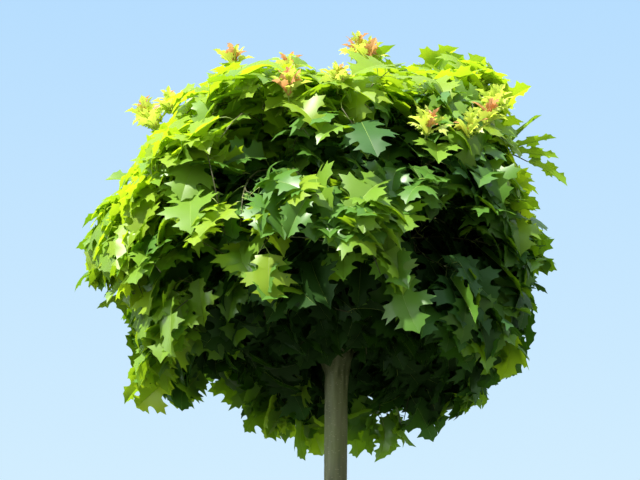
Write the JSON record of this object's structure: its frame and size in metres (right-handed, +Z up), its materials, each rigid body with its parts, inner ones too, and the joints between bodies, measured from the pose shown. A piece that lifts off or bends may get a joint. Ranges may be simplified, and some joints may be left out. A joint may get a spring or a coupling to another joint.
{
  "type": "young pin oak tree with a round head on a clear stem",
  "caption": "Young pin oak grown as a round leafy head on a straight clear stem, rooted in level ground.",
  "frame": {"origin": "middle of the flat cut under the stem, on level ground", "axes": "+Z up along the stem, -Y towards the side that the picture shows, +X to that view's right"},
  "size_m": [1.2271, 1.1853, 3.0327],
  "materials": {
    "bark": "smooth grey-green young bark, matt",
    "bough_bark": "olive-brown young bark, satin",
    "leaf": "deep green leaves, glossy above and dull below",
    "young_leaf": "yellow-green young leaves, satin"
  },
  "bodies": {
    "root": {"trunk": "bark", "bough_top": "bough_bark", "bough_upper_front_left": "bough_bark", "bough_upper_front_right": "bough_bark", "bough_upper_right": "bough_bark", "bough_upper_back": "bough_bark", "bough_upper_left": "bough_bark", "bough_side_front": "bough_bark", "bough_side_front_right": "bough_bark", "bough_side_right": "bough_bark", "bough_side_back_right": "bough_bark", "bough_side_back": "bough_bark", "bough_side_back_left": "bough_bark", "bough_side_left": "bough_bark", "bough_side_front_left": "bough_bark", "foliage_top": "young_leaf", "foliage_upper_front_left": "young_leaf", "foliage_upper_front_right": "young_leaf", "foliage_upper_right": "young_leaf", "foliage_upper_back": "young_leaf", "foliage_upper_left": "young_leaf", "foliage_side_front": "leaf", "foliage_side_front_right": "leaf", "foliage_side_right": "leaf", "foliage_side_back_right": "leaf", "foliage_side_back": "leaf", "foliage_side_back_left": "leaf", "foliage_side_left": "leaf", "foliage_side_front_left": "leaf"}
  },
  "joints": []
}
